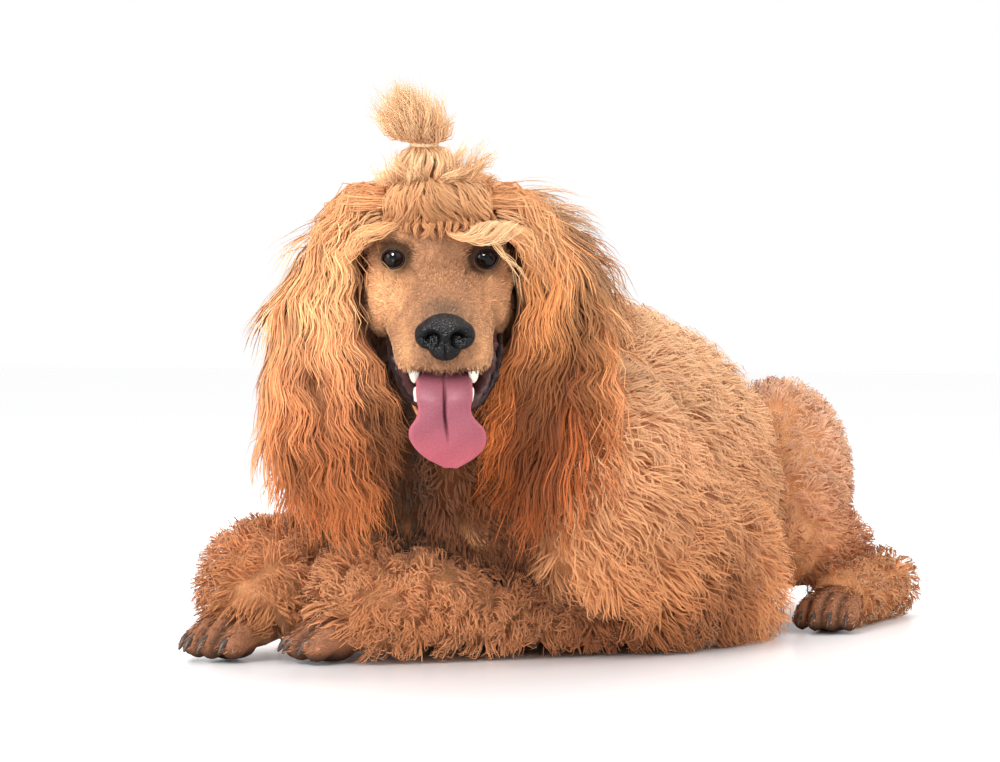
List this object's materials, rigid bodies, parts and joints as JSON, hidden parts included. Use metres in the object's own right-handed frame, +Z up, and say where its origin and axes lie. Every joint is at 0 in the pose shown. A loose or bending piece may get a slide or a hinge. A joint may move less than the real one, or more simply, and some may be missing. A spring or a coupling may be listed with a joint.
{
  "type": "standard poodle",
  "caption": "Life-size standard poodle lying on its chest with forelegs in front, long wavy ears and mane, banded topknot, open mouth and tongue out.",
  "frame": {"origin": "middle of the dog's bounding box at floor level", "axes": "+Z up, +Y from the chest towards the tail, +X towards the dog's left; the head looks along -Y turned 27 degrees to the dog's left"},
  "size_m": [0.3828, 0.8428, 0.4059],
  "materials": {
    "apricot_coat": "dense matt curls, apricot red",
    "cream_coat": "long wavy hair, paler apricot",
    "rust_coat": "long wavy hair, redder towards the tips",
    "shaved_face": "short clipped fur",
    "shaved_paw": "short clipped fur, greyish brown",
    "nose_leather": "moist black, finely pebbled",
    "eye_wet": "wet, very dark brown",
    "tongue_pink": "moist pink",
    "tooth_enamel": "smooth enamel",
    "claw_horn": "dark grey horn",
    "hair_elastic": "thin pale elastic"
  },
  "bodies": {
    "root": {"head": "shaved_face", "jaw": "shaved_face", "tongue": "tongue_pink", "nose": "nose_leather", "eye_left": "eye_wet", "eye_right": "eye_wet", "tooth_upper_left": "tooth_enamel", "tooth_upper_right": "tooth_enamel", "tooth_lower_left": "tooth_enamel", "tooth_lower_right": "tooth_enamel", "topknot": "cream_coat", "hair_band_lower": "hair_elastic", "hair_band_upper": "hair_elastic", "ear_left": "rust_coat", "ear_right": "rust_coat", "neck": "cream_coat", "torso": "apricot_coat", "tail": "apricot_coat", "foreleg_left": "apricot_coat", "foreleg_right": "apricot_coat", "forepaw_left": "shaved_paw", "forepaw_right": "shaved_paw", "hindleg_left": "apricot_coat", "hindleg_right": "apricot_coat", "hindfoot_left": "apricot_coat", "hindfoot_right": "apricot_coat", "hindpaw_left": "shaved_paw", "hindpaw_right": "shaved_paw", "claw_fore_left_1": "claw_horn", "claw_fore_left_2": "claw_horn", "claw_fore_left_3": "claw_horn", "claw_fore_left_4": "claw_horn", "claw_fore_right_1": "claw_horn", "claw_fore_right_2": "claw_horn", "claw_fore_right_3": "claw_horn", "claw_fore_right_4": "claw_horn", "claw_hind_left_1": "claw_horn", "claw_hind_left_2": "claw_horn", "claw_hind_left_3": "claw_horn", "claw_hind_left_4": "claw_horn", "claw_hind_right_1": "claw_horn", "claw_hind_right_2": "claw_horn", "claw_hind_right_3": "claw_horn", "claw_hind_right_4": "claw_horn"}
  },
  "joints": []
}
